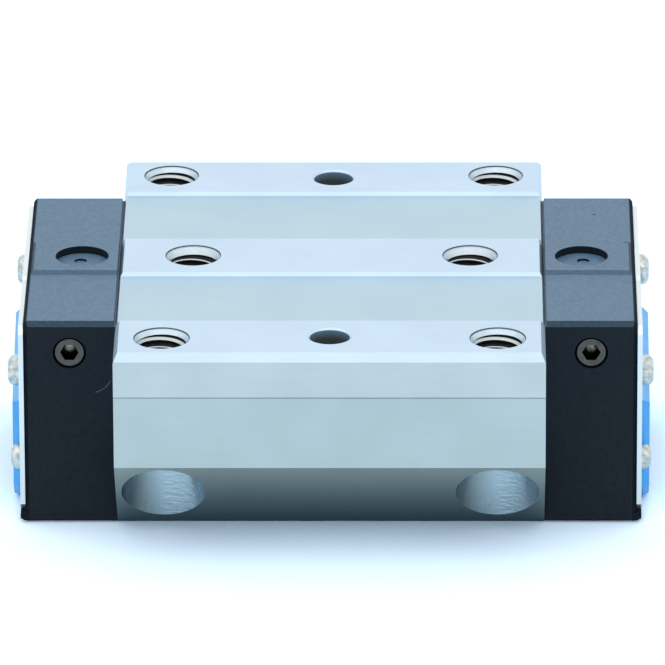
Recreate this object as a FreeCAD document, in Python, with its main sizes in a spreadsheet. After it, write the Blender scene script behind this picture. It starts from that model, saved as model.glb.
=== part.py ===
import FreeCAD, Part
import math
import os
import re

import Sketcher

# Roller guide carriage with flanges, in millimetres.
# X runs along the rail, Y across it and Z up; the origin is under the middle of the carriage.
# Left is -X, right is +X, front is -Y and rear is +Y.

Vector = FreeCAD.Vector

# Driving sizes
SIZES = {
    # Steel block
    "body_length": 79.6,
    "body_width": 100.0,
    "body_top": 41.0,
    "edge_chamfer_width": 2.0,
    "edge_chamfer_drop": 1.2,
    "reference_height": 8.15,
    "flange_recess": 0.45,
    "flange_foot": 18.6,
    "groove_depth": 0.7,
    "groove_slope": 0.45,
    "centre_land": 17.0,
    "outer_land": 17.5,
    "end_edge_width": 0.8,
    "end_edge_drop": 1.4,
    # Slot for the rail, and the rail that it is made for
    "slot_crown": 2.7,
    "rail_width": 34.0,
    "rail_top": 22.6,
    "rail_corner": 1.0,
    "waist_inset": 5.0,
    "rail_gap": 0.6,
    "seal_gap": 0.2,
    # Rollers and their circuits
    "race_middle": 13.0,
    "race_inset": 0.9,
    "row_spacing": 9.0,
    "roller_diameter": 4.5,
    "roller_length": 5.4,
    "roller_chamfer": 0.35,
    "roller_gap": 0.25,
    "race_play": 0.1,
    "end_play": 0.2,
    "channel_play": 0.25,
    "nose_blunt": 0.45,
    "turn_radius": 7.0,
    "turn_step": 6.2,
    "tube_wall": 0.67,
    "tube_play": 0.05,
    "strip_land": 0.2,
    # Fixing holes
    "bolt_end_distance": 8.8,
    "bolt_side_distance": 9.0,
    "middle_end_distance": 13.8,
    "bolt_diameter": 10.0,
    "bolt_mouth": 10.5,
    "middle_floor": 3.7,
    "head_pocket": 15.5,
    "flange_thickness": 12.0,
    "pin_side_distance": 10.0,
    "pin_diameter": 7.5,
    "pin_mouth": 8.2,
    "pin_depth": 12.0,
    # End caps
    "cap_wall": 0.8,
    "cap_side_wall": 1.3,
    "cap_edge": 0.9,
    "cap_end_edge": 1.2,
    "cap_corner_edge": 1.0,
    "joint_width": 0.3,
    "joint_depth": 0.8,
    "cap_foot_edge": 1.0,
    "rib_height": 0.55,
    "rib_top": 14.2,
    "rib_foot": 16.2,
    "recess_place": 7.1,
    "recess_diameter": 10.0,
    "recess_depth": 1.45,
    "dimple_diameter": 2.4,
    "dimple_depth": 0.4,
    "dimple_outset": 0.35,
    "dimple_setback": 1.1,
    "port_place": 8.6,
    "port_mouth": 6.2,
    "port_mouth_depth": 2.0,
    "port_depth": 11.4,
    "plug_diameter": 5.6,
    "plug_play": 0.1,
    "plug_length": 5.5,
    "plug_sink": 0.35,
    "plug_socket": 3.0,
    "plug_socket_depth": 2.5,
    "plug_edge": 0.15,
    "oil_bore": 2.5,
    "oil_inset": 9.9,
    "lip_height": 1.8,
    "lip_width": 7.2,
    "lip_edge": 0.8,
    # Turn guides
    "guide_wall": 0.6,
    "guide_rim": 1.4,
    "guide_side_wall": 0.58,
    "guide_nose_gap": 1.8,
    "guide_play": 0.1,
    # End plates and end seals
    "plate_thickness": 0.9,
    "plate_inset": 0.3,
    "plate_foot": 2.2,
    "plate_corner": 1.4,
    "seal_thickness": 1.6,
    "seal_leg": 6.4,
    "seal_slope": 0.4,
    "seal_drop": 1.4,
    "seal_bevel": 1.1,
    "seal_foot": 0.8,
    "seal_foot_edge": 2.6,
    # Side seals and retaining strips
    "side_seal_height": 1.3,
    "side_seal_floor": 0.3,
    "side_seal_gap": 0.15,
    # Cap screws
    "upper_side_distance": 6.7,
    "upper_share": 0.266,
    "upper_screw": 3.0,
    "upper_head": 5.8,
    "upper_head_height": 2.2,
    "upper_reach": 8.0,
    "lower_head_gap": 0.2,
    "lower_drop": 2.0,
    "lower_screw": 2.5,
    "lower_head": 4.8,
    "lower_head_height": 1.8,
    "lower_reach": 4.2,
    "screw_play": 0.15,
    "screw_dome": 1.4,
    "screw_socket": 0.55,
    "screw_socket_depth": 0.5,
}

# Sizes that follow from them
DERIVED = {
    "body_end": "body_length / 2",
    "body_side": "body_width / 2",
    "groove_floor": "body_top - groove_depth",
    "lower_side": "body_side - flange_recess",
    "reference_foot": "body_top - reference_height",
    "rail_side": "rail_width / 2",
    "rail_waist": "rail_side - waist_inset",
    "slot_mouth": "rail_side + rail_gap",
    "slot_top": "rail_top + slot_crown",
    "middle_depth": "body_top - slot_top - middle_floor",
    # Centres of the load rows, of the turns and of the return rows on the rear side
    "load_y": "rail_side - race_inset",
    "upper_load_z": "race_middle + row_spacing / 2",
    "lower_load_z": "race_middle - row_spacing / 2",
    "turn_reach": "turn_radius / sqrt(2)",
    "turn_y": "load_y + turn_reach",
    "upper_turn_z": "upper_load_z - turn_reach",
    "lower_turn_z": "lower_load_z + turn_reach",
    "return_y": "load_y + 2 * turn_reach",
    "upper_return_z": "upper_load_z - 2 * turn_reach",
    "lower_return_z": "lower_load_z + 2 * turn_reach",
    # The block's raceways are at 45 degrees and meet in a nose; y - z is constant along the upper one
    "race_line": "load_y - upper_load_z + (roller_diameter / 2 + race_play) * sqrt(2)",
    "nose_tip": "race_line + race_middle + nose_blunt",
    # The rollers' outer ends lie along y + z = constant, and so do the strips that hold them
    "end_line": "load_y + upper_load_z + (roller_length / 2 + end_play) * sqrt(2)",
    "slot_side": "(end_line + race_line) / 2 + strip_land",
    "strip_seat": "slot_side - race_line + race_play",
    # The rail's own raceways, along which y - z is constant
    "rail_line": "load_y - upper_load_z - roller_diameter / 2 * sqrt(2)",
    # Channel section that a roller runs in
    "channel_half": "roller_diameter / 2 + channel_play",
    "channel_end": "roller_length / 2 + end_play",
    "channel_corner": "(channel_half + channel_end) / sqrt(2)",
    "tube_diameter": "2 * (sqrt(channel_half * channel_half + channel_end * channel_end) + tube_wall)",
    # Turn guides fit round the channels, and the caps round the turn guides
    "guide_end": "body_end + turn_step + turn_radius + channel_half + guide_wall",
    "guide_outside": "return_y + channel_corner + guide_side_wall",
    "guide_floor": "upper_return_z - channel_corner - guide_rim",
    "guide_roof": "lower_return_z + channel_corner + guide_rim",
    "guide_nose": "rail_waist + guide_nose_gap",
    "cap_end": "guide_end + guide_play + cap_wall",
    "cap_side": "guide_outside + guide_play + cap_side_wall",
    "cap_top": "groove_floor",
    "plate_end": "cap_end + plate_thickness",
    "plate_side": "cap_side - plate_inset",
    "plate_top": "cap_top - cap_end_edge",
    "seal_side": "rail_side + seal_leg",
    "seal_shoulder": "rail_top - seal_drop",
    "seal_peak": "seal_shoulder + seal_slope * seal_side",
    "recess_x": "body_end + recess_place",
    # The upper screws lie in the wall above the turn guides, and the ports above the upper screws
    "upper_screw_y": "cap_side - upper_side_distance",
    "upper_screw_z": "guide_roof + upper_share * (cap_top - guide_roof)",
    "port_x": "body_end + port_place",
    "port_height": "(upper_screw_z + cap_top) / 2",
    "lower_screw_y": "seal_side + lower_head / 2 + lower_head_gap",
    "lower_screw_z": "race_middle - lower_drop",
    "pocket_roof": "body_top - flange_thickness",
    "strip_floor": "side_seal_floor + side_seal_height",
}

doc = FreeCAD.newDocument("roller_guide_carriage")
sheet = doc.addObject("Spreadsheet::Sheet", "Sizes")
for row, (alias, size) in enumerate(SIZES.items(), start=1):
    sheet.set("A%d" % row, alias)
    sheet.set("B%d" % row, str(size))
    sheet.setAlias("B%d" % row, alias)
doc.recompute()

OWNERS = {alias: "Sizes." for alias in SIZES}
OWNERS.update({name: "Derived." for name in DERIVED})


def formula(text):
    """Write the owner in front of each named size in an expression."""
    return re.sub(r"[a-z_]+", lambda word: OWNERS.get(word.group(), "") + word.group(), text)


derived = doc.addObject("App::VarSet", "Derived")
for name, text in DERIVED.items():
    derived.addProperty("App::PropertyFloat", name)
    derived.setExpression(name, formula(text))
doc.recompute()


def number(text):
    """The value of an expression, in millimetres."""
    return float(sheet.evalExpression(formula(text)))


def bind(thing, **expressions):
    """Bind plain properties to expressions."""
    for prop, text in expressions.items():
        thing.setExpression(prop, formula(text))


def place(thing, at, rotation=None):
    """Put a primitive at a point given by three expressions."""
    thing.Placement = FreeCAD.Placement(Vector(), rotation or FreeCAD.Rotation())
    for axis, text in zip("xyz", at):
        thing.setExpression("Placement.Base." + axis, formula(text))


ALONG_X = FreeCAD.Rotation(Vector(0, 1, 0), 90)
ALONG_Y = FreeCAD.Rotation(Vector(1, 0, 0), -90)
ALONG_Z = FreeCAD.Rotation()


def cylinder(name, diameter, length, at, rotation=ALONG_Z):
    thing = doc.addObject("Part::Cylinder", name)
    bind(thing, Radius="(%s) / 2" % diameter, Height=length)
    place(thing, at, rotation)
    return thing


def cone(name, diameter_start, diameter_end, length, at, rotation=ALONG_Z):
    thing = doc.addObject("Part::Cone", name)
    bind(thing, Radius1="(%s) / 2" % diameter_start, Radius2="(%s) / 2" % diameter_end, Height=length)
    place(thing, at, rotation)
    return thing


def box(name, size, at, rotation=ALONG_Z):
    thing = doc.addObject("Part::Box", name)
    bind(thing, Length=size[0], Width=size[1], Height=size[2])
    place(thing, at, rotation)
    return thing


def fuse(name, things):
    thing = doc.addObject("Part::MultiFuse", name)
    thing.Shapes = things
    return thing


def cut(name, base, tools):
    thing = doc.addObject("Part::Cut", name)
    thing.Base = base
    thing.Tool = tools[0] if len(tools) == 1 else fuse(name + "_tools", tools)
    return thing


def mirror(name, source, normal):
    thing = doc.addObject("Part::Mirroring", name)
    thing.Source = source
    thing.Normal = normal
    return thing


TOLERANCE = 0.001
ACROSS = Vector(0, 1, 0)
LENGTHWISE = Vector(1, 0, 0)


def outline(body, plane, points, lift="0"):
    """A closed sketch through points given as pairs of expressions, on one of the body's own planes."""
    sketch = body.newObject("Sketcher::SketchObject", body.Name + "_sketch")
    support = [feature for feature in body.Origin.OriginFeatures if feature.Role == plane]
    sketch.AttachmentSupport = [(support[0], "")]
    sketch.MapMode = "FlatFace"
    sketch.setExpression("AttachmentOffset.Base.z", formula(lift))
    places = [Vector(number(across), number(up), 0) for across, up in points]
    count = len(places)
    for index in range(count):
        sketch.addGeometry(Part.LineSegment(places[index], places[(index + 1) % count]), False)
    for index in range(count):
        sketch.addConstraint(Sketcher.Constraint("Coincident", index, 2, (index + 1) % count, 1))
    for index, point in enumerate(points):
        for kind, start, text in zip(("DistanceX", "DistanceY"), places[index], point):
            number_of = sketch.addConstraint(Sketcher.Constraint(kind, -1, 1, index, 1, start))
            sketch.setExpression("Constraints[%d]" % number_of, formula(text))
    return sketch


def prism(name, points, start, length, plane="YZ_Plane"):
    """A body with one padded section; on YZ_Plane the section is (y, z) and the pad runs along +X."""
    body = doc.addObject("PartDesign::Body", name)
    sketch = outline(body, plane, points, start)
    pad = body.newObject("PartDesign::Pad", name + "_pad")
    pad.Profile = sketch
    bind(pad, Length=length)
    return body


def turned(name, points, place_at, rotation):
    """A body of revolution about its own Z axis, from a section given as (radius, height)."""
    body = doc.addObject("PartDesign::Body", name)
    sketch = outline(body, "XZ_Plane", points)
    turning = body.newObject("PartDesign::Revolution", name + "_turning")
    turning.Profile = sketch
    turning.ReferenceAxis = (sketch, ["V_Axis"])
    turning.Angle = 360
    place(body, place_at, rotation)
    return body


def both_sides(points):
    """A half section and its mirror image across the middle plane, as one closed loop."""
    return points + [("-(%s)" % across, up) for across, up in reversed(points)]


parts = []


def keep(thing, label):
    """Name a finished piece; its label names its file."""
    thing.Label = label
    parts.append(thing)
    return thing


def keep_ends(thing, label):
    """Keep a piece of the right end and its mirror image at the left end."""
    keep(thing, label + "_right")
    keep(mirror(label + "_mirror", thing, LENGTHWISE), label + "_left")


def keep_corners(thing, label):
    """Keep a piece of the right rear corner and its mirror images at the other three."""
    front = mirror(label + "_front_mirror", thing, ACROSS)
    for piece, side in ((thing, "rear"), (front, "front")):
        keep(piece, "%s_%s_right" % (label, side))
        left = mirror("%s_%s_left_mirror" % (label, side), piece, LENGTHWISE)
        keep(left, "%s_%s_left" % (label, side))


def keep_sides(thing, label):
    """Keep a piece of the rear side and its mirror image on the front side."""
    keep(thing, label + "_rear")
    keep(mirror(label + "_mirror", thing, ACROSS), label + "_front")


# Rotations for the two circuits: the local Z runs along the rollers' axes and the local Y along the rail
def circuit_rotation(rise):
    axis = Vector(0, 1, rise)
    return FreeCAD.Rotation(LENGTHWISE.cross(axis), LENGTHWISE, axis, "ZYX")


UPPER = {"name": "upper", "rise": 1, "step": "0"}
LOWER = {"name": "lower", "rise": -1, "step": "turn_step"}
CIRCUITS = (UPPER, LOWER)


def channel(name, circuit, at_y, at_z, start, length):
    """A straight roller channel of rectangular section, centred on a row."""
    axis = "(channel_end / sqrt(2))"
    side = "(channel_half / sqrt(2))"
    if circuit["rise"] > 0:
        corner = ("%s + %s - %s" % (at_y, side, axis), "%s - %s - %s" % (at_z, side, axis))
    else:
        corner = ("%s - %s - %s" % (at_y, side, axis), "%s - %s + %s" % (at_z, side, axis))
    size = ("2 * channel_half", length, "2 * channel_end")
    return box(name, size, (start,) + corner, circuit_rotation(circuit["rise"]))


def turn_channel(name, circuit):
    """The half ring in which the rollers of a circuit turn round at the right end."""
    rise = circuit["rise"]
    at = (
        "body_end + " + circuit["step"],
        "turn_y - channel_end / sqrt(2)",
        "%s_turn_z - %d * channel_end / sqrt(2)" % (circuit["name"], rise),
    )
    ring = cylinder(name + "_ring", "2 * (turn_radius + channel_half)", "2 * channel_end", at,
                    circuit_rotation(rise))
    ring.Angle = 180
    core = cylinder(name + "_core", "2 * (turn_radius - channel_half)", "2 * channel_end", at,
                    circuit_rotation(rise))
    return cut(name, ring, [core])


# Steel block
def make_body():
    section = both_sides([
        ("centre_land / 2", "body_top"),
        ("centre_land / 2 + groove_slope", "groove_floor"),
        ("body_side - outer_land - groove_slope", "groove_floor"),
        ("body_side - outer_land", "body_top"),
        ("body_side - edge_chamfer_width", "body_top"),
        ("body_side", "body_top - edge_chamfer_drop"),
        ("body_side", "reference_foot"),
        ("lower_side", "reference_foot - flange_recess"),
        ("lower_side", "flange_foot"),
        ("lower_side - flange_foot", "0"),
        ("slot_side", "0"),
        ("slot_side", "race_middle * 2 - (slot_side - race_line)"),
        ("nose_tip", "race_middle - nose_blunt"),
        ("nose_tip", "race_middle + nose_blunt"),
        ("slot_side", "slot_side - race_line"),
        ("slot_side", "slot_top"),
    ])
    block = prism("block", section, "-body_end", "body_length")
    tools = []
    for end, sign in (("left", "-"), ("right", "")):
        edge = [
            (sign + "(body_end - end_edge_width)", "body_top"),
            (sign + "body_end", "body_top - end_edge_drop"),
            (sign + "body_end", "body_top"),
        ]
        tools.append(prism("end_edge_" + end, edge, "-body_side", "body_width", "XZ_Plane"))
    mouth = "(bolt_mouth - bolt_diameter) / 2"
    pin_edge = "(pin_mouth - pin_diameter) / 2"
    screw_hole = "upper_screw + 2 * screw_play"
    for x_sign in ("", "-"):
        for y_sign in ("", "-"):
            at = (x_sign + "(body_end - bolt_end_distance)", y_sign + "(body_side - bolt_side_distance)")
            tools.append(cylinder("bolt_hole", "bolt_diameter", "flange_thickness", at + ("pocket_roof",)))
            tools.append(cone("bolt_hole_mouth", "bolt_diameter", "bolt_mouth", mouth,
                              at + ("body_top - " + mouth,)))
            tools.append(cylinder("screw_head_pocket", "head_pocket", "pocket_roof", at + ("0",)))
        at = (x_sign + "(body_end - middle_end_distance)", "0")
        floor = "body_top - middle_depth"
        tools.append(cylinder("middle_hole", "bolt_diameter", "middle_depth", at + (floor,)))
        tools.append(cone("middle_hole_mouth", "bolt_diameter", "bolt_mouth", mouth,
                          at + ("body_top - " + mouth,)))
    for y_sign in ("", "-"):
        at = ("0", y_sign + "(body_side - pin_side_distance)")
        tools.append(cylinder("pin_hole", "pin_diameter", "pin_depth", at + ("body_top - pin_depth",)))
        tools.append(cone("pin_hole_mouth", "pin_diameter", "pin_mouth", pin_edge,
                          at + ("body_top - " + pin_edge,)))
        for circuit in CIRCUITS:
            at = ("-body_end", y_sign + "return_y", circuit["name"] + "_return_z")
            tools.append(cylinder("tube_bore", "tube_diameter + 2 * tube_play", "body_length", at, ALONG_X))
        for start in ("-body_end", "body_end - upper_reach"):
            at = (start, y_sign + "upper_screw_y", "upper_screw_z")
            tools.append(cylinder("cap_screw_hole", screw_hole, "upper_reach", at, ALONG_X))
    keep(cut("carriage_body", block, tools), "carriage_body")


# Return tubes, pressed through the block
def make_tubes():
    for circuit in CIRCUITS:
        name = circuit["name"] + "_return_tube"
        at_z = circuit["name"] + "_return_z"
        at = ("-body_end", "return_y", at_z)
        tube = cylinder(name + "_outside", "tube_diameter", "body_length", at, ALONG_X)
        bore = channel(name + "_bore", circuit, "return_y", at_z, "-body_end", "body_length")
        keep_sides(cut(name, tube, [bore]), name)


# Strips along the slot that hold the rollers' ends, and the seals below them
def make_strips():
    upper = [
        ("slot_side", "slot_top"),
        ("slot_mouth", "slot_top"),
        ("slot_mouth", "end_line - slot_mouth"),
        ("end_line - strip_seat", "strip_seat"),
        ("slot_side", "strip_seat"),
    ]
    lower = [(across, "2 * race_middle - (%s)" % up) for across, up in upper[2:]]
    lower += [("slot_side", "strip_floor"), ("slot_mouth", "strip_floor")]
    seal = [
        ("slot_side", "side_seal_floor"),
        ("slot_side", "strip_floor"),
        ("slot_mouth", "strip_floor"),
        ("rail_side + side_seal_gap", "side_seal_floor"),
    ]
    for name, section in (("upper_strip", upper), ("lower_strip", lower), ("side_seal", seal)):
        keep_sides(prism(name, section, "-body_end", "body_length"), name)


# Turn guides, one for both circuits of a side
def make_turn_guides():
    slope = "(rail_line + rail_gap * sqrt(2))"
    section = [
        ("slot_mouth", "guide_roof"),
        ("slot_mouth", "slot_mouth - " + slope),
        ("guide_nose", "guide_nose - " + slope),
        ("guide_nose", "2 * race_middle - guide_nose + " + slope),
        ("slot_mouth", "2 * race_middle - slot_mouth + " + slope),
        ("slot_mouth", "guide_floor"),
        ("guide_outside", "guide_floor"),
        ("guide_outside", "guide_roof"),
    ]
    blank = prism("turn_guide_blank", section, "body_end", "guide_end - body_end")
    tools = [turn_channel(circuit["name"] + "_turn_channel", circuit) for circuit in CIRCUITS]
    for row in ("load", "return"):
        at_z = "lower_%s_z" % row
        tools.append(channel("lower_%s_lead" % row, LOWER, row + "_y", at_z, "body_end", "turn_step"))
    at = ("guide_end - lower_reach", "lower_screw_y", "lower_screw_z")
    tools.append(cylinder("guide_screw_hole", "lower_screw + 2 * screw_play", "lower_reach", at, ALONG_X))
    keep_corners(cut("turn_guide", blank, tools), "turn_guide")


# End caps
def make_caps():
    section = both_sides([
        ("rib_top / 2", "cap_top + rib_height"),
        ("rib_foot / 2", "cap_top"),
        ("cap_side - cap_edge", "cap_top"),
        ("cap_side", "cap_top - cap_edge"),
        ("cap_side", "cap_foot_edge"),
        ("cap_side - cap_foot_edge", "0"),
        ("slot_mouth", "0"),
        ("slot_mouth", "slot_top"),
    ])
    shell = prism("cap_shell", section, "body_end", "cap_end - body_end")
    lip_section = [
        ("cap_side - lip_width", "0"),
        ("cap_side - cap_foot_edge", "0"),
        ("cap_side", "cap_foot_edge"),
        ("cap_side", "lip_height"),
        ("cap_side - lip_width", "lip_height"),
    ]
    lip = prism("cap_lip_rear", lip_section, "cap_end", "plate_thickness")
    blank = fuse("cap_blank", [shell, lip, mirror("cap_lip_front", lip, ACROSS)])
    end_edge = prism("cap_end_edge", [
        ("cap_end - cap_end_edge", "cap_top + rib_height"),
        ("cap_end", "cap_top + rib_height - cap_end_edge"),
        ("cap_end", "cap_top + rib_height"),
    ], "-cap_side", "2 * cap_side", "XZ_Plane")
    corner_edge = prism("cap_corner_edge", [
        ("cap_end - cap_corner_edge", "cap_side"),
        ("cap_end", "cap_side - cap_corner_edge"),
        ("cap_end", "cap_side"),
    ], "lip_height", "cap_top - lip_height", "XY_Plane")
    recess_floor = "cap_top + rib_height - recess_depth"
    joint_groove = ("joint_width", "2 * cap_side", "joint_depth + rib_height")
    tools = [
        end_edge,
        box("cap_joint_groove", joint_groove, ("body_end", "-cap_side", "cap_top - joint_depth")),
        cylinder("oil_recess", "recess_diameter", "recess_depth", ("recess_x", "0", recess_floor)),
        cylinder("oil_dimple", "dimple_diameter", "dimple_depth",
                 ("recess_x + dimple_outset", "dimple_setback", recess_floor + " - dimple_depth")),
        prism("cap_lip_edge", [
            ("plate_end - lip_edge", "0"),
            ("plate_end", "0"),
            ("plate_end", "lip_edge"),
        ], "-cap_side", "2 * cap_side", "XZ_Plane"),
    ]
    guide_pocket = ("guide_end + guide_play - body_end", "guide_outside + guide_play - slot_mouth + rail_gap",
                    "guide_roof - guide_floor + 2 * guide_play")
    pocket_at = ("body_end", "slot_mouth - rail_gap", "guide_floor - guide_play")
    bore = "plug_diameter + 2 * plug_play"
    side_tools = [
        corner_edge,
        box("guide_pocket", guide_pocket, pocket_at),
        cylinder("port_bore", bore, "port_depth",
                 ("port_x", "cap_side - port_depth", "port_height"), ALONG_Y),
        cylinder("port_mouth_bore", "port_mouth", "port_mouth_depth",
                 ("port_x", "cap_side - port_mouth_depth", "port_height"), ALONG_Y),
        cylinder("oil_way", "oil_bore", "port_height - guide_roof",
                 ("port_x", "cap_side - oil_inset", "guide_roof")),
        cylinder("upper_screw_way", "upper_screw + 2 * screw_play", "cap_end - body_end",
                 ("body_end", "upper_screw_y", "upper_screw_z"), ALONG_X),
        cylinder("lower_screw_way", "lower_screw + 2 * screw_play", "cap_end - guide_end",
                 ("guide_end", "lower_screw_y", "lower_screw_z"), ALONG_X),
    ]
    for tool in side_tools:
        tools += [tool, mirror(tool.Name + "_front", tool, ACROSS)]
    keep_ends(cut("end_cap", blank, tools), "end_cap")


# Hexagon socket plugs in the side ports
def make_plugs():
    outer = "(cap_side - plug_sink)"
    at = ("port_x", outer + " - plug_length", "port_height")
    rod = turned("plug_rod", [
        ("0", "0"),
        ("plug_diameter / 2", "0"),
        ("plug_diameter / 2", "plug_length - plug_edge"),
        ("plug_diameter / 2 - plug_edge", "plug_length"),
        ("0", "plug_length"),
    ], at, ALONG_Y)
    socket = doc.addObject("Part::Prism", "plug_socket_cutter")
    socket.Polygon = 6
    bind(socket, Circumradius="plug_socket / sqrt(3)", Height="plug_socket_depth")
    place(socket, ("port_x", outer + " - plug_socket_depth", "port_height"), ALONG_Y)
    keep_corners(cut("port_plug", rod, [socket]), "port_plug")


def rail_clear(gap):
    """The rear half of the rail's outline, set off by a gap, from the top down to the foot."""
    slope = "(rail_line + %s * sqrt(2))" % gap
    side = "(rail_side + %s)" % gap
    waist = "(rail_waist + %s)" % gap
    top = "(rail_top + %s)" % gap
    return [
        ("%s - rail_corner" % side, top),
        (side, "%s - rail_corner" % top),
        (side, "%s - %s" % (side, slope)),
        (waist, "%s - %s" % (waist, slope)),
        (waist, "2 * race_middle - %s + %s" % (waist, slope)),
        (side, "2 * race_middle - %s + %s" % (side, slope)),
    ]


# Sheet end plates
def make_plates():
    opening = list(reversed(rail_clear("rail_gap")))
    section = both_sides([
        ("rib_top / 2", "plate_top + rib_height"),
        ("rib_foot / 2", "plate_top"),
        ("plate_side - plate_corner", "plate_top"),
        ("plate_side", "plate_top - plate_corner"),
        ("plate_side", "plate_foot + plate_corner"),
        ("plate_side - plate_corner", "plate_foot"),
        ("slot_mouth", "plate_foot"),
    ] + opening)
    blank = prism("plate_blank", section, "cap_end", "plate_thickness")
    tools = []
    for name in ("upper", "lower"):
        at = ("cap_end", name + "_screw_y", name + "_screw_z")
        bore = name + "_screw + 2 * screw_play"
        hole = cylinder(name + "_plate_hole", bore, "plate_thickness", at, ALONG_X)
        tools += [hole, mirror(name + "_plate_hole_front", hole, ACROSS)]
    keep_ends(cut("end_plate", blank, tools), "end_plate")


def on_rim(point, rim):
    """Whether a point of either half lies on one of the rim's corners."""
    return any(abs(abs(point.y) - across) < TOLERANCE and abs(point.z - up) < TOLERANCE for across, up in rim)


# End seals that wipe the rail, with a bevelled outer rim
def make_seals():
    opening = list(reversed(rail_clear("seal_gap")))
    outer = [
        ("seal_side", "seal_shoulder"),
        ("seal_side", "seal_foot + seal_foot_edge"),
        ("seal_side - seal_foot_edge", "seal_foot"),
        ("rail_side + seal_gap", "seal_foot"),
    ]
    half = outer + opening
    section = [("0", "seal_peak")] + both_sides(half)
    seal = prism("end_seal", section, "plate_end", "seal_thickness")
    pad = seal.Tip
    doc.recompute()
    face_x = number("plate_end + seal_thickness")
    rim = [(number(across), number(up)) for across, up in [("0", "seal_peak")] + outer[:-1]]
    edges = []
    for index, edge in enumerate(pad.Shape.Edges, start=1):
        ends = [vertex.Point for vertex in edge.Vertexes]
        if all(abs(end.x - face_x) < TOLERANCE and on_rim(end, rim) for end in ends):
            edges.append("Edge%d" % index)
    bevel = seal.newObject("PartDesign::Chamfer", "end_seal_bevel")
    bevel.Base = (pad, edges)
    bind(bevel, Size="seal_bevel")
    seal.Tip = bevel
    keep_ends(seal, "end_seal")


# Cap screws with domed heads
DOME_STEPS = 5


def make_screw(name, seat, reach):
    radius = name + "_screw / 2"
    head = name + "_head / 2"
    height = name + "_head_height"
    at = (seat, name + "_screw_y", name + "_screw_z")
    shank_end = "-(%s)" % reach
    dome = []
    for step in range(DOME_STEPS + 1):
        angle = "%g" % (90 * step / DOME_STEPS)
        dome.append(("%s - screw_dome * (1 - cos(%s))" % (head, angle),
                     "%s - screw_dome * (1 - sin(%s))" % (height, angle)))
    blank = turned(name + "_cap_screw_blank", [
        ("0", shank_end),
        (radius, shank_end),
        (radius, "0"),
        (head, "0"),
    ] + dome + [("0", height)], at, ALONG_X)
    socket = doc.addObject("Part::Prism", name + "_screw_socket_cutter")
    socket.Polygon = 6
    bind(socket, Circumradius="%s * screw_socket" % head, Height="%s * screw_socket_depth" % height)
    place(socket, (seat + " + %s * (1 - screw_socket_depth)" % height,) + at[1:], ALONG_X)
    keep_corners(cut(name + "_cap_screw", blank, [socket]), name + "_cap_screw")


# Rollers, spaced evenly round each circuit and grouped by the stretch that they are on
def make_rollers():
    half = "roller_length / 2"
    roller = turned("roller", [
        ("0", "-" + half),
        ("roller_diameter / 2 - roller_chamfer", "-" + half),
        ("roller_diameter / 2", "-%s + roller_chamfer" % half),
        ("roller_diameter / 2", half + " - roller_chamfer"),
        ("roller_diameter / 2 - roller_chamfer", half),
        ("0", half),
    ], ("0", "0", "0"), ALONG_Z)
    doc.recompute()
    radius = number("turn_radius")
    arc = math.pi * radius
    diagonal = math.sqrt(0.5)
    for circuit in CIRCUITS:
        end = number("body_end + " + circuit["step"])
        straight = 2 * end
        length = 2 * (straight + arc)
        count = 2 * int(length / number("roller_diameter + roller_gap") / 2)
        pitch = length / count
        print("%s circuit: %d rollers, pitch %.4f mm" % (circuit["name"], count, pitch))
        groups = {"right_turn": [], "return": [], "left_turn": [], "load": []}
        for index in range(count):
            way = (index + 0.5) * pitch + arc / 2
            if way < arc or way >= 2 * straight + 2 * arc:
                angle = (way % length) / radius
                groups["right_turn"].append((end + radius * math.sin(angle), -radius * math.cos(angle)))
            elif way < arc + straight:
                groups["return"].append((end - (way - arc), radius))
            elif way < 2 * arc + straight:
                angle = (way - arc - straight) / radius
                groups["left_turn"].append((-end - radius * math.sin(angle), radius * math.cos(angle)))
            else:
                groups["load"].append((way - 2 * arc - straight - end, -radius))
        middle = (number("turn_y"), number(circuit["name"] + "_turn_z"))
        for side, sign in (("rear", 1), ("front", -1)):
            rotation = FreeCAD.Rotation(Vector(0, 0, 1), Vector(0, sign, circuit["rise"]))
            for group, places in groups.items():
                rollers = []
                for along, outward in places:
                    at = Vector(along, sign * (middle[0] + outward * diagonal),
                                middle[1] - circuit["rise"] * outward * diagonal)
                    copy = roller.Shape.copy()
                    copy.Placement = FreeCAD.Placement(at, rotation)
                    rollers.append(copy)
                label = "%s_%s_%s_rollers" % (circuit["name"], side, group)
                thing = doc.addObject("Part::Feature", label)
                thing.Shape = Part.makeCompound(rollers)
                keep(thing, label)


make_body()
make_tubes()
make_strips()
make_turn_guides()
make_caps()
make_plugs()
make_plates()
make_seals()
make_screw("upper", "plate_end", "plate_end - body_end + upper_reach")
make_screw("lower", "plate_end", "plate_end - guide_end + lower_reach")
make_rollers()
doc.recompute()

for thing in doc.Objects:
    if "Invalid" in thing.State or "Error" in thing.State:
        raise RuntimeError("%s did not build: %s" % (thing.Label, thing.State))
for thing in parts:
    if thing.Shape.isNull() or not thing.Shape.isValid():
        raise RuntimeError("%s has no valid shape" % thing.Label)

os.makedirs("parts", exist_ok=True)
for thing in parts:
    thing.Shape.exportStep("parts/%s.step" % thing.Label)
print("%d parts written" % len(parts))
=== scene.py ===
"""Roller guide carriage with flanges, in metres, on a pale studio floor."""
import math

import bpy
from mathutils import Matrix, Vector


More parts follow.
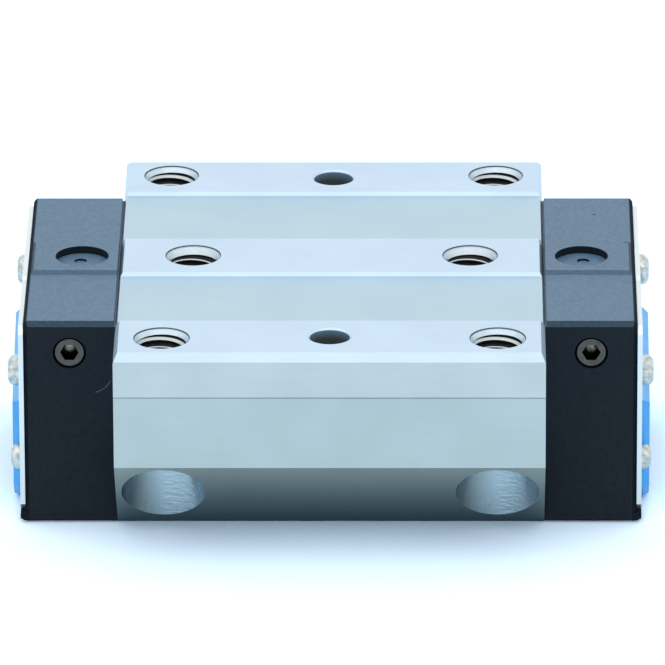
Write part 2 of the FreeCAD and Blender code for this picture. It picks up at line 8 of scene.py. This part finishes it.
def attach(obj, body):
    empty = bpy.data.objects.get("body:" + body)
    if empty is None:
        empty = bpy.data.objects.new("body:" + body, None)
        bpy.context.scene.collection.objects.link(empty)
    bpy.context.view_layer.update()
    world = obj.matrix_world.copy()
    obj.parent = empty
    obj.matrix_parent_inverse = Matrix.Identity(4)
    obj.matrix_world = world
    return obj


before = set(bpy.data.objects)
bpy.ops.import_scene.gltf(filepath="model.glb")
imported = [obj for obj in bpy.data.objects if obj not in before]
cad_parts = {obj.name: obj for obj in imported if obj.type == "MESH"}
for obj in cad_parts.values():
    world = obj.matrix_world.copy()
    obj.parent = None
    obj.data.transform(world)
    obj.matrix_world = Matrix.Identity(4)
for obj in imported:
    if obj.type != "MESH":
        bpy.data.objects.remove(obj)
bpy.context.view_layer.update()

MM = 0.001
ROOT = "carriage"

# Places on the block, caps, plugs and screws
BODY_TOP = 41.0 * MM
GROOVE_FLOOR = 40.3 * MM
GROOVE_INSIDE, GROOVE_OUTSIDE = 8.9 * MM, 32.1 * MM
FLANGE_FOOT = 18.6 * MM
REFERENCE_FOOT = 32.85 * MM
EDGE_FOOT = 39.8 * MM
SIDE_INSIDE = 49.4 * MM
SLOPE_INSIDE = 30.0 * MM
CORNER_X, CORNER_Y = 31.0 * MM, 41.0 * MM
MIDDLE_X = 26.0 * MM
PIN_Y = 40.0 * MM
BOLT_RADIUS, BOLT_MOUTH = 5.0 * MM, 5.25 * MM
PIN_RADIUS = 3.75 * MM
PIN_RIM, PIN_DARK = 40.6 * MM, 39.0 * MM
POCKET_RADIUS = 7.75 * MM
POCKET_ROOF = 29.0 * MM
THREAD_TOP = 40.0 * MM
SHADE_TOP, SHADE_EDGE = 38.4 * MM, 0.2 * MM
BRIGHT_FLANK, BRIGHT_CREST = 4.66 * MM, 4.39 * MM
PLUG_FACE = 31.4 * MM
SOCKET_FLOOR = 29.0 * MM
PORT_X, PORT_Z = 48.4 * MM, 34.18 * MM
LIT_PATCH_RADIUS = 1.0 * MM
CAP_SHEEN_FOOT = 38.0 * MM
CAP_RIM, SHEEN_EDGE = 56.2 * MM, 0.25 * MM
CAP_SIDE = 31.8 * MM
CAP_SPOTS = ((49.6 * MM, 22.5 * MM, 0.32 * MM), (55.4 * MM, 7.0 * MM, 0.35 * MM))
HAIR_X, HAIR_Z, HAIR_BEND = -44.54 * MM, 30.29 * MM, 4.06 * MM
HAIR_LEFT, HAIR_RIGHT, HAIR_TOP = -43.6 * MM, -40.8 * MM, 28.8 * MM
HAIR_WIDTH = 0.09 * MM
UPPER_SCREW, LOWER_SCREW = 29.3 * MM, 12.1 * MM
BAND_HALF_HEIGHT = 0.2 * MM
EDGE = 0.02 * MM

# Relief of the finishes; chatter is counted in depths of the grinding lines
GRINDING_DEPTH = 0.004 * MM
CHATTER_DEPTH = 12.0
ROLLING_DEPTH = 0.003 * MM
MOULD_DEPTH = 0.012 * MM
NOISE_LOW, NOISE_HIGH = 0.3, 0.7


# Materials, built up from textures in the space of each piece

class Surface:
    """A principled material with helpers for procedural texture."""

    def __init__(self, name, metallic=0.0):
        self.material = bpy.data.materials.new(name)
        self.material.use_nodes = True
        self.tree = self.material.node_tree
        self.shader = self.tree.nodes["Principled BSDF"]
        self.shader.inputs["Metallic"].default_value = metallic
        self.place = self.node("ShaderNodeTexCoord").outputs["Object"]

    def node(self, kind):
        return self.tree.nodes.new(kind)

    def link(self, source, target):
        self.tree.links.new(source, target)

    def noise(self, size, stretch=(1.0, 1.0, 1.0), detail=2.0):
        """Noise with features of about that size in metres, drawn out by the stretch on each axis."""
        mapping = self.node("ShaderNodeMapping")
        mapping.inputs["Scale"].default_value = [1.0 / (size * s) for s in stretch]
        noise = self.node("ShaderNodeTexNoise")
        noise.inputs["Scale"].default_value = 1.0
        noise.inputs["Detail"].default_value = detail
        self.link(self.place, mapping.inputs["Vector"])
        self.link(mapping.outputs["Vector"], noise.inputs["Vector"])
        return noise.outputs["Fac"]

    def cloud(self, size, detail=3.0):
        """Soft noise spread over 0 to 1."""
        return self.span(self.noise(size, detail=detail), NOISE_LOW, NOISE_HIGH)

    def along(self, axis):
        """The coordinate on one axis."""
        split = self.node("ShaderNodeSeparateXYZ")
        self.link(self.place, split.inputs["Vector"])
        return split.outputs[axis]

    def wrapped(self, axis, middle):
        """The coordinate on one axis, counted from the nearer of -middle and middle."""
        node = self.node("ShaderNodeMath")
        node.operation = "WRAP"
        self.link(self.maths("ADD", self.along(axis), middle), node.inputs[0])
        node.inputs[1].default_value = middle
        node.inputs[2].default_value = -middle
        return node.outputs["Value"]

    def distance(self, place, kept, centre):
        """Distance from a centre, on the axes that are kept."""
        offset = self.node("ShaderNodeVectorMath")
        offset.operation = "MULTIPLY_ADD"
        offset.inputs[1].default_value = kept
        offset.inputs[2].default_value = [-k * c for k, c in zip(kept, centre)]
        self.link(place, offset.inputs[0])
        length = self.node("ShaderNodeVectorMath")
        length.operation = "LENGTH"
        self.link(offset.outputs["Vector"], length.inputs[0])
        return length.outputs["Value"]

    def mirrored(self):
        """The place with every coordinate taken as positive."""
        node = self.node("ShaderNodeVectorMath")
        node.operation = "ABSOLUTE"
        self.link(self.place, node.inputs[0])
        return node.outputs["Vector"]

    def from_axis(self, x, y):
        """Distance from the upright axes at (+-x, +-y)."""
        return self.distance(self.mirrored(), (1.0, 1.0, 0.0), (x, y, 0.0))

    def from_bolts(self):
        """Distance from the axis of the nearest fixing hole."""
        corner = self.from_axis(CORNER_X, CORNER_Y)
        middle = self.from_axis(MIDDLE_X, 0.0)
        return self.maths("MINIMUM", corner, middle)

    def facing(self, axis, low, high):
        """0 to 1 as the face turns towards an axis."""
        split = self.node("ShaderNodeSeparateXYZ")
        self.link(self.node("ShaderNodeTexCoord").outputs["Normal"], split.inputs["Vector"])
        return self.span(split.outputs[axis], low, high)

    def span(self, value, low, high, start=0.0, end=1.0):
        """Take value from low..high to start..end."""
        node = self.node("ShaderNodeMapRange")
        for name, number in (("From Min", low), ("From Max", high), ("To Min", start), ("To Max", end)):
            node.inputs[name].default_value = number
        self.link(value, node.inputs["Value"])
        return node.outputs["Result"]

    def zone(self, value, low, high):
        """1 where a value lies between two limits."""
        node = self.node("ShaderNodeMath")
        node.operation = "COMPARE"
        self.link(value, node.inputs[0])
        node.inputs[1].default_value = (low + high) / 2
        node.inputs[2].default_value = (high - low) / 2
        return node.outputs["Value"]

    def maths(self, operation, first, second):
        """Join two values, or a value and a number."""
        node = self.node("ShaderNodeMath")
        node.operation = operation
        for socket, term in zip(node.inputs, (first, second)):
            if isinstance(term, float):
                socket.default_value = term
            else:
                self.link(term, socket)
        return node.outputs["Value"]

    def both(self, first, second):
        return self.maths("MULTIPLY", first, second)

    def either(self, first, second):
        return self.maths("MAXIMUM", first, second)

    def blend(self, factor, first, second):
        """Mix two colours, each a tuple or an output."""
        node = self.node("ShaderNodeMix")
        node.data_type = "RGBA"
        self.link(factor, node.inputs["Factor"])
        for socket, colour in ((node.inputs["A"], first), (node.inputs["B"], second)):
            if isinstance(colour, tuple):
                socket.default_value = colour + (1.0,)
            else:
                self.link(colour, socket)
        return node.outputs["Result"]

    def colour(self, source):
        self.link(source, self.shader.inputs["Base Color"])

    def roughness(self, source):
        self.link(source, self.shader.inputs["Roughness"])

    def bump(self, height, depth):
        """Relief of that depth in metres."""
        node = self.node("ShaderNodeBump")
        node.inputs["Strength"].default_value = 1.0
        node.inputs["Distance"].default_value = depth
        self.link(height, node.inputs["Height"])
        self.link(node.outputs["Normal"], self.shader.inputs["Normal"])


def ground_steel():
    """Ground faces with fine lines along the rail, each kind of face in a tone of its own, with painted
    light and shade on the upright and sloping faces, in the pockets and in the holes.
    """
    surface = Surface("ground_steel", metallic=1.0)
    lines = surface.noise(0.16 * MM, stretch=(60.0, 1.0, 1.0))
    cloud = surface.cloud(12.0 * MM)
    chatter = surface.noise(0.5 * MM, stretch=(4.0, 4.0, 1.0))
    height = surface.along("Z")
    across = surface.maths("ABSOLUTE", surface.along("Y"), 0.0)
    from_bolt = surface.from_bolts()
    from_pin = surface.from_axis(0.0, PIN_Y)
    from_pocket = surface.from_axis(CORNER_X, CORNER_Y)

    groove = surface.both(surface.zone(height, GROOVE_FLOOR - EDGE, GROOVE_FLOOR + EDGE),
                          surface.zone(across, GROOVE_INSIDE, GROOVE_OUTSIDE))
    at_side = surface.zone(across, SIDE_INSIDE, 2 * SIDE_INSIDE)
    reference = surface.both(surface.zone(height, REFERENCE_FOOT, EDGE_FOOT), at_side)
    side = surface.both(surface.zone(height, FLANGE_FOOT, REFERENCE_FOOT), at_side)
    slope = surface.both(surface.zone(height, 0.0, FLANGE_FOOT - EDGE),
                         surface.zone(across, SLOPE_INSIDE, 2 * SLOPE_INSIDE))
    pocket = surface.both(surface.zone(height, 0.0, POCKET_ROOF + EDGE),
                          surface.zone(from_pocket, 0.0, POCKET_RADIUS + EDGE))
    pocket_offset = surface.wrapped("X", CORNER_X)
    chattered = surface.both(pocket, surface.zone(pocket_offset, 0.0, POCKET_RADIUS))
    in_bolt = surface.zone(from_bolt, 0.0, BOLT_RADIUS + EDGE)
    plain_wall = surface.both(in_bolt, surface.zone(height, THREAD_TOP, BODY_TOP))
    thread_wall = surface.both(in_bolt, surface.zone(height, POCKET_ROOF + EDGE, THREAD_TOP))
    in_pin = surface.zone(from_pin, 0.0, PIN_RADIUS + EDGE)
    pin_wall = surface.both(in_pin, surface.zone(height, POCKET_ROOF - EDGE, PIN_RIM))
    pin_rim = surface.both(in_pin, surface.zone(height, PIN_RIM, BODY_TOP))
    bolt_rim = surface.both(surface.zone(from_bolt, BOLT_RADIUS + EDGE, BOLT_MOUTH - EDGE),
                            surface.zone(height, GROOVE_FLOOR, BODY_TOP - EDGE / 2))

    grain = surface.maths("ADD", surface.span(cloud, 0.0, 1.0, 0.0, 0.6),
                          surface.span(lines, NOISE_LOW, NOISE_HIGH, 0.0, 0.4))
    colour = surface.blend(grain, (0.585, 0.735, 0.885), (0.65, 0.815, 0.965))
    # Painted shade: the upright reference faces and the flange sides below them get darker, greyer tones
    # than the top lands.
    colour = surface.blend(reference, colour, surface.blend(grain, (0.56, 0.62, 0.64), (0.64, 0.695, 0.715)))
    colour = surface.blend(side, colour, surface.blend(grain, (0.49, 0.565, 0.58), (0.56, 0.645, 0.655)))
    colour = surface.blend(groove, colour, surface.blend(grain, (0.49, 0.65, 0.75), (0.54, 0.70, 0.80)))
    # Painted shade: the sloping underside of each flange darkens towards the floor.
    rise = surface.both(surface.span(height, 0.0, FLANGE_FOOT), surface.span(grain, 0.0, 1.0, 0.88, 1.0))
    colour = surface.blend(slope, colour, surface.blend(rise, (0.045, 0.113, 0.16), (0.405, 0.47, 0.455)))
    # Painted light and shade: each pocket is dark on one side and light towards the other.
    pocket_painted_light = surface.span(pocket_offset, -0.8 * POCKET_RADIUS, 0.0)
    colour = surface.blend(pocket, colour, surface.blend(pocket_painted_light, (0.20, 0.245, 0.255), (0.46, 0.59, 0.67)))
    # Painted highlight: the bore above the thread is near white; painted shade: the bore below it is near
    # black.
    colour = surface.blend(plain_wall, colour, (0.88, 0.93, 0.95))
    colour = surface.blend(thread_wall, colour, (0.05, 0.055, 0.06))
    # Painted shade: the pin holes darken with depth; painted highlight: a pale band at their rim.
    pin_painted_light = surface.span(height, PIN_DARK, PIN_RIM)
    pin_shade = surface.blend(pin_painted_light, (0.112, 0.111, 0.11), (0.195, 0.325, 0.44))
    colour = surface.blend(pin_wall, colour, pin_shade)
    colour = surface.blend(pin_rim, colour, (0.82, 0.92, 0.97))
    # Painted shade: a thin dark ring round the mouth of each fixing hole.
    colour = surface.blend(bolt_rim, colour, (0.06, 0.10, 0.13))
    surface.colour(colour)
    # The painted bore, pin hole and rim tones are made nearly non-metallic so that their painted tones show
    # as given.
    walls = surface.either(plain_wall, surface.either(pin_wall, pin_rim))
    surface.link(surface.span(walls, 0.0, 1.0, 1.0, 0.1), surface.shader.inputs["Metallic"])
    gloss = surface.span(lines, NOISE_LOW, NOISE_HIGH, 0.36, 0.44)
    surface.roughness(surface.maths("SUBTRACT", gloss, surface.span(pocket, 0.0, 1.0, 0.0, 0.14)))
    marks = surface.span(chatter, NOISE_LOW, NOISE_HIGH, 0.0, CHATTER_DEPTH)
    relief = surface.maths("ADD", lines, surface.both(chattered, marks))
    surface.bump(relief, GRINDING_DEPTH)
    return surface.material


def cap_plastic():
    """Black moulded plastic with a painted pale sheen on its top faces, two dark spots and a stray hair."""
    surface = Surface("cap_plastic")
    grain = surface.noise(0.5 * MM, detail=4.0)
    cloud = surface.cloud(0.7 * MM, detail=4.0)
    unshaded = surface.blend(cloud, (0.003, 0.008, 0.014), (0.007, 0.013, 0.021))
    # Painted sheen: a lighter, bluer tone of the black for faces that turn up.
    painted_sheen = surface.blend(cloud, (0.108, 0.176, 0.252), (0.156, 0.236, 0.322))
    along = surface.maths("ABSOLUTE", surface.along("X"), 0.0)
    height = surface.along("Z")
    # Painted shade: the sheen stops short of the end next to the plate, leaving a black line there.
    inside_rim = surface.span(along, CAP_RIM + SHEEN_EDGE, CAP_RIM)
    top = surface.both(surface.zone(height, CAP_SHEEN_FOOT, BODY_TOP), inside_rim)
    sheen = surface.both(surface.facing("Z", 0.60, 1.0), top)
    colour = surface.blend(sheen, unshaded, painted_sheen)
    for x, y, radius in CAP_SPOTS:
        spot = surface.zone(surface.distance(surface.place, (1.0, 1.0, 0.0), (x, y, 0.0)), 0.0, radius)
        colour = surface.blend(surface.both(spot, sheen), colour, (0.01, 0.015, 0.02))
    from_hair = surface.distance(surface.place, (1.0, 0.0, 1.0), (HAIR_X, 0.0, HAIR_Z))
    hair = surface.zone(from_hair, HAIR_BEND - HAIR_WIDTH / 2, HAIR_BEND + HAIR_WIDTH / 2)
    limits = (("X", HAIR_LEFT, HAIR_RIGHT), ("Y", -CAP_SIDE - EDGE, -CAP_SIDE + EDGE),
              ("Z", 0.0, HAIR_TOP))
    for axis, low, high in limits:
        hair = surface.both(hair, surface.zone(surface.along(axis), low, high))
    colour = surface.blend(hair, colour, (0.14, 0.16, 0.20))
    surface.colour(colour)
    rim = surface.zone(along, CAP_RIM, 2 * CAP_RIM)
    gloss = surface.span(sheen, 0.0, 1.0, 0.62, 0.44)
    surface.roughness(surface.maths("ADD", gloss, surface.span(rim, 0.0, 1.0, 0.0, 0.38)))
    surface.shader.inputs["Specular IOR Level"].default_value = 0.22
    surface.bump(grain, MOULD_DEPTH)
    return surface.material


def plate_steel():
    """Bright cold rolled sheet."""
    surface = Surface("plate_steel", metallic=1.0)
    lines = surface.noise(0.2 * MM, stretch=(1.0, 40.0, 1.0))
    grain = surface.span(lines, NOISE_LOW, NOISE_HIGH)
    surface.colour(surface.blend(grain, (0.79, 0.86, 0.89), (0.85, 0.92, 0.94)))
    surface.roughness(surface.span(grain, 0.0, 1.0, 0.34, 0.42))
    surface.bump(lines, ROLLING_DEPTH)
    return surface.material


def seal_blue():
    """Blue moulded seal, a little uneven, paler where it faces up, a painted sheen."""
    surface = Surface("seal_blue")
    cloud = surface.cloud(3.0 * MM)
    unshaded = surface.blend(cloud, (0.06, 0.39, 0.90), (0.08, 0.44, 0.94))
    # Painted sheen: a paler blue for faces that turn up.
    painted_sheen = surface.blend(cloud, (0.36, 0.62, 0.93), (0.44, 0.70, 0.96))
    surface.colour(surface.blend(surface.facing("Z", 0.5, 0.9), unshaded, painted_sheen))
    surface.roughness(surface.span(cloud, 0.0, 1.0, 0.30, 0.38))
    return surface.material


def plug_steel():
    """Dark steel with oil on it, black in the hexagon socket, a painted shade, but for a mottled painted
    pool of light on its floor.
    """
    surface = Surface("plug_steel", metallic=1.0)
    cloud = surface.cloud(1.2 * MM)
    mottle = surface.span(surface.noise(0.8 * MM), 0.35, 0.65)
    face = surface.blend(cloud, (0.082, 0.080, 0.076), (0.125, 0.122, 0.116))
    # Painted shade: the socket is near black.
    wall = surface.blend(cloud, (0.008, 0.008, 0.008), (0.018, 0.018, 0.016))
    # Painted light: a mottled pale pool on the socket floor.
    lit_patch = surface.blend(mottle, (0.13, 0.13, 0.075), (0.36, 0.37, 0.29))
    from_lit_patch = surface.distance(surface.mirrored(), (1.0, 0.0, 1.0), (PORT_X, 0.0, PORT_Z))
    floor = surface.blend(surface.span(from_lit_patch, LIT_PATCH_RADIUS, LIT_PATCH_RADIUS / 2), wall, lit_patch)
    across = surface.maths("ABSOLUTE", surface.along("Y"), 0.0)
    socket = surface.blend(surface.zone(across, 0.0, SOCKET_FLOOR), wall, floor)
    surface.colour(surface.blend(surface.zone(across, PLUG_FACE, 2 * PLUG_FACE), socket, face))
    surface.shader.inputs["Specular Tint"].default_value = (0.1, 0.1, 0.1, 1.0)
    surface.roughness(surface.span(cloud, 0.0, 1.0, 0.32, 0.44))
    return surface.material


def thread_steel(name, bright_flank):
    """A cut thread, bright on its first turn and along its crest, a painted highlight, and dark below, a
    painted shade.
    """
    surface = Surface(name, metallic=1.0)
    cloud = surface.cloud(1.2 * MM)
    bright = surface.blend(cloud, (0.55, 0.60, 0.61), (0.67, 0.72, 0.73))
    # Painted shade: near black for the thread below its first turn.
    deep_shade = surface.blend(cloud, (0.02, 0.02, 0.02), (0.04, 0.04, 0.04))
    from_bolt = surface.from_bolts()
    first_turn = surface.span(surface.along("Z"), SHADE_TOP - SHADE_EDGE, SHADE_TOP)
    flank = surface.zone(from_bolt, 0.0, bright_flank)
    crest = surface.zone(from_bolt, 0.0, BRIGHT_CREST)
    unshaded = surface.either(surface.both(first_turn, flank), crest)
    surface.colour(surface.blend(unshaded, deep_shade, bright))
    surface.roughness(surface.span(cloud, 0.0, 1.0, 0.36, 0.46))
    return surface.material


def screw_steel():
    """Bright plated steel, with a dark painted reflection at half height on the side of each head."""
    surface = Surface("screw_steel", metallic=1.0)
    cloud = surface.cloud(1.2 * MM)
    mottle = surface.span(surface.noise(0.9 * MM), 0.35, 0.65)
    bright = surface.blend(mottle, (0.44, 0.49, 0.48), (0.74, 0.79, 0.77))
    height = surface.along("Z")
    # Painted reflection: a dark band at half height on the sides of the heads.
    reflection_band = surface.either(surface.zone(height, UPPER_SCREW - BAND_HALF_HEIGHT, UPPER_SCREW + BAND_HALF_HEIGHT),
                            surface.zone(height, LOWER_SCREW - BAND_HALF_HEIGHT, LOWER_SCREW + BAND_HALF_HEIGHT))
    side = surface.either(surface.facing("Y", 0.8, 0.95), surface.facing("Y", -0.8, -0.95))
    surface.colour(surface.blend(surface.both(reflection_band, side), bright, (0.30, 0.35, 0.36)))
    surface.roughness(surface.span(cloud, 0.0, 1.0, 0.24, 0.34))
    return surface.material


def turned_steel(name, dark, light, low, high):
    """Plain steel of small parts, with a faint cloud in its colour and gloss."""
    surface = Surface(name, metallic=1.0)
    cloud = surface.cloud(1.2 * MM)
    surface.colour(surface.blend(cloud, dark, light))
    surface.roughness(surface.span(cloud, 0.0, 1.0, low, high))
    return surface.material


def plain_plastic(name, dark, light, low, high):
    """Moulded plastic or rubber of the inner parts."""
    surface = Surface(name)
    cloud = surface.cloud(3.0 * MM)
    surface.colour(surface.blend(cloud, dark, light))
    surface.roughness(surface.span(cloud, 0.0, 1.0, low, high))
    return surface.material


STEEL = ground_steel()
CORNER_STEEL = thread_steel("corner_thread_steel", BRIGHT_FLANK)
MIDDLE_STEEL = thread_steel("middle_thread_steel", BRIGHT_CREST)
# Painted highlight: the middle lead-in cones are a lighter copy of the corner ones.
CORNER_LEAD_IN = turned_steel("corner_lead_in", (0.59, 0.72, 0.80), (0.67, 0.80, 0.88), 0.30, 0.38)
MIDDLE_LEAD_IN = turned_steel("middle_lead_in", (0.72, 0.81, 0.88), (0.80, 0.89, 0.95), 0.30, 0.38)
FINISHES = {
    "carriage_body": STEEL,
    "end_cap": cap_plastic(),
    "end_plate": plate_steel(),
    "end_seal": seal_blue(),
    "cap_screw": screw_steel(),
    "port_plug": plug_steel(),
    "rollers": turned_steel("roller_steel", (0.66, 0.68, 0.70), (0.72, 0.74, 0.76), 0.12, 0.18),
    "return_tube": plain_plastic("tube_plastic", (0.50, 0.48, 0.42), (0.58, 0.56, 0.50), 0.40, 0.50),
    "strip": plain_plastic("strip_plastic", (0.020, 0.022, 0.025), (0.030, 0.032, 0.036), 0.40, 0.50),
    "turn_guide": plain_plastic("guide_plastic", (0.020, 0.022, 0.025), (0.030, 0.032, 0.036), 0.40, 0.50),
    "side_seal": plain_plastic("side_seal_rubber", (0.012, 0.013, 0.014), (0.020, 0.021, 0.022), 0.50, 0.60),
}
for name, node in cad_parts.items():
    finish = [material for word, material in FINISHES.items() if word in name][0]
    node.data.materials.clear()
    node.data.materials.append(finish)


# Lead-in cones and screw threads in the fixing holes

THREAD_PITCH = 1.5 * MM
THREAD_ROOT = 5.05 * MM
THREAD_CREST = 4.25 * MM
THREAD_STEPS = 40
THREAD_RUN_OUT = 12
# Corners of the ridge, as shares of its height and of the pitch
THREAD_SECTION = ((0.0, 0.44), (1.0, -0.10), (1.0, -0.16), (0.0, -0.44))
CORNER_THREAD, MIDDLE_THREAD = 40.54 * MM, 40.01 * MM
CORNER_CONE, MIDDLE_CONE = 39.86 * MM, 39.35 * MM
MIDDLE_FOOT = 30.0 * MM
CONE_TOP = 40.78 * MM
CONE_END = 4.5 * MM
CONE_UNDERCUT = 0.25 * MM
CONE_STEPS = 64


def add_piece(name, points, faces, sharp, material):
    """A closed piece that rides with the carriage."""
    mesh = bpy.data.meshes.new(name)
    mesh.from_pydata(points, [], faces)
    mesh.polygons.foreach_set("use_smooth", [True] * len(faces))
    for edge in mesh.edges:
        edge.use_edge_sharp = sharp(*edge.vertices)
    mesh.materials.append(material)
    piece = bpy.data.objects.new(name, mesh)
    bpy.context.scene.collection.objects.link(piece)
    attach(piece, ROOT)


def around(x, y, radius, turn, z):
    """A point at that radius and angle from an upright axis."""
    return (x + radius * math.cos(turn), y + radius * math.sin(turn), z)


def thread(name, x, y, top, bottom, material):
    """A right-hand ridge that winds down a hole from top to bottom and runs out at both ends."""
    count = int((top - bottom - THREAD_PITCH) / THREAD_PITCH * THREAD_STEPS)
    points = []
    faces = []
    for step in range(count + 1):
        turn = -math.pi / 2 - 2.0 * math.pi * step / THREAD_STEPS
        middle = top - THREAD_PITCH / 2 - THREAD_PITCH * step / THREAD_STEPS
        rise = min(1.0, (step + 1) / THREAD_RUN_OUT, (count - step + 1) / THREAD_RUN_OUT)
        for height_share, pitch_share in THREAD_SECTION:
            radius = THREAD_ROOT - height_share * rise * (THREAD_ROOT - THREAD_CREST)
            points.append(around(x, y, radius, turn, middle + pitch_share * THREAD_PITCH))
    corners = len(THREAD_SECTION)
    for step in range(count):
        for corner in range(corners):
            here = corners * step + corner
            beside = corners * step + (corner + 1) % corners
            faces.append((here, beside, beside + corners, here + corners))
    faces.append(tuple(reversed(range(corners))))
    faces.append(tuple(corners * count + corner for corner in range(corners)))
    add_piece(name, points, faces, lambda a, b: abs(a - b) == corners, material)


def lead_in(name, x, y, end, material):
    """A ring whose upper face leads down from the mouth of a hole to its thread."""
    section = ((THREAD_ROOT, CONE_TOP), (CONE_END, end), (THREAD_ROOT, end - CONE_UNDERCUT))
    corners = len(section)
    points = []
    faces = []
    for step in range(CONE_STEPS):
        turn = 2.0 * math.pi * step / CONE_STEPS
        points.extend(around(x, y, radius, turn, z) for radius, z in section)
        after = (step + 1) % CONE_STEPS
        for corner in range(corners):
            beside = (corner + 1) % corners
            faces.append((corners * step + corner, corners * after + corner,
                          corners * after + beside, corners * step + beside))
    add_piece(name, points, faces, lambda a, b: a // corners != b // corners, material)


for end, x_sign in (("left", -1), ("right", 1)):
    for side, y_sign in (("front", -1), ("rear", 1)):
        corner = (x_sign * CORNER_X, y_sign * CORNER_Y)
        thread("thread_%s_%s" % (side, end), *corner, CORNER_THREAD, POCKET_ROOF, CORNER_STEEL)
        lead_in("lead_in_%s_%s" % (side, end), *corner, CORNER_CONE, CORNER_LEAD_IN)
    thread("thread_middle_%s" % end, x_sign * MIDDLE_X, 0.0, MIDDLE_THREAD, MIDDLE_FOOT, MIDDLE_STEEL)
    lead_in("lead_in_middle_%s" % end, x_sign * MIDDLE_X, 0.0, MIDDLE_CONE, MIDDLE_LEAD_IN)


# Floor, light and camera

FLOOR_PALE = (0.90, 0.92, 0.94, 1.0)
FLOOR_MIRRORED = (1.00, 1.06, 1.10, 1.0)
FLOOR_SEEN = (1.42, 1.52, 1.66, 1.0)
IMAGE_WIDTH = 665


def seen_rays(tree):
    """1 for rays from the eye, straight or by way of metal and glass."""
    path = tree.nodes.new("ShaderNodeLightPath")
    seen = path.outputs["Is Camera Ray"]
    for output in ("Is Glossy Ray", "Is Transmission Ray"):
        either = tree.nodes.new("ShaderNodeMath")
        either.operation = "MAXIMUM"
        tree.links.new(seen, either.inputs[0])
        tree.links.new(path.outputs[output], either.inputs[1])
        seen = either.outputs["Value"]
    return seen


def add_floor():
    """A wide pale floor just under the caps."""
    size = 3.0
    drop = -0.1 * MM
    mesh = bpy.data.meshes.new("floor")
    mesh.from_pydata([(-size, -size, drop), (size, -size, drop), (size, size, drop), (-size, size, drop)],
                     [], [(0, 1, 2, 3)])
    material = bpy.data.materials.new("floor")
    material.use_nodes = True
    tree = material.node_tree
    tree.nodes.remove(tree.nodes["Principled BSDF"])
    path = tree.nodes.new("ShaderNodeLightPath")
    colour = FLOOR_PALE
    for output, seen in (("Is Glossy Ray", FLOOR_MIRRORED), ("Is Camera Ray", FLOOR_SEEN)):
        mix = tree.nodes.new("ShaderNodeMix")
        mix.data_type = "RGBA"
        tree.links.new(path.outputs[output], mix.inputs["Factor"])
        if isinstance(colour, tuple):
            mix.inputs["A"].default_value = colour
        else:
            tree.links.new(colour, mix.inputs["A"])
        mix.inputs["B"].default_value = seen
        colour = mix.outputs["Result"]
    matt = tree.nodes.new("ShaderNodeBsdfDiffuse")
    tree.links.new(colour, matt.inputs["Color"])
    tree.links.new(matt.outputs["BSDF"], tree.nodes["Material Output"].inputs["Surface"])
    mesh.materials.append(material)
    floor = bpy.data.objects.new("floor", mesh)
    bpy.context.scene.collection.objects.link(floor)


def add_world():
    """An even pale sky, white where it is seen or mirrored."""
    world = bpy.data.worlds.new("studio")
    bpy.context.scene.world = world
    world.use_nodes = True
    tree = world.node_tree
    sky = tree.nodes["Background"]
    sky.inputs["Color"].default_value = (0.78, 0.91, 1.0, 1.0)
    sky.inputs["Strength"].default_value = 0.95
    white = tree.nodes.new("ShaderNodeBackground")
    white.inputs["Color"].default_value = (1.0, 1.0, 1.0, 1.0)
    white.inputs["Strength"].default_value = 1.0
    mix = tree.nodes.new("ShaderNodeMixShader")
    tree.links.new(seen_rays(tree), mix.inputs["Fac"])
    tree.links.new(sky.outputs["Background"], mix.inputs[1])
    tree.links.new(white.outputs["Background"], mix.inputs[2])
    tree.links.new(mix.outputs["Shader"], tree.nodes["World Output"].inputs["Surface"])


def add_lamp(name, place, target, width, depth, power, colour):
    """A soft oblong lamp that points at the target."""
    lamp = bpy.data.lights.new(name, "AREA")
    lamp.shape = "RECTANGLE"
    lamp.size = width
    lamp.size_y = depth
    lamp.energy = power
    lamp.color = colour
    thing = bpy.data.objects.new(name, lamp)
    thing.location = place
    thing.rotation_mode = "QUATERNION"
    thing.rotation_quaternion = (Vector(target) - Vector(place)).to_track_quat("-Z", "Y")
    bpy.context.scene.collection.objects.link(thing)


def add_camera():
    """A long lens in front, a little above the carriage."""
    elevation, azimuth, roll = math.radians(22.38), math.radians(0.61), math.radians(-0.23)
    distance = 2050.8 * MM
    target = Vector((0.0, 0.0, 20.0 * MM))
    back = Vector((math.sin(azimuth) * math.cos(elevation), -math.cos(azimuth) * math.cos(elevation),
                   math.sin(elevation)))
    right = Vector((math.cos(azimuth), math.sin(azimuth), 0.0))
    up = back.cross(right)
    tilted_right = math.cos(roll) * right + math.sin(roll) * up
    tilted_up = math.cos(roll) * up - math.sin(roll) * right
    data = bpy.data.cameras.new("camera")
    data.sensor_width = 36.0
    data.lens = 588.7
    data.shift_x = 0.4 / IMAGE_WIDTH
    data.shift_y = 26.1 / IMAGE_WIDTH
    data.clip_start = 0.1
    data.clip_end = 20.0
    camera = bpy.data.objects.new("camera", data)
    turn = Matrix((tilted_right, tilted_up, back)).transposed().to_4x4()
    camera.matrix_world = Matrix.Translation(target + distance * back) @ turn
    bpy.context.scene.collection.objects.link(camera)
    bpy.context.scene.camera = camera


add_floor()
add_world()
add_lamp("key", place=(-0.25, -0.50, 1.25), target=(0.0, 0.0, 0.0), width=3.0, depth=1.8, power=4.0,
         colour=(0.95, 0.98, 1.0))
add_camera()
bpy.context.scene.view_settings.view_transform = "Standard"
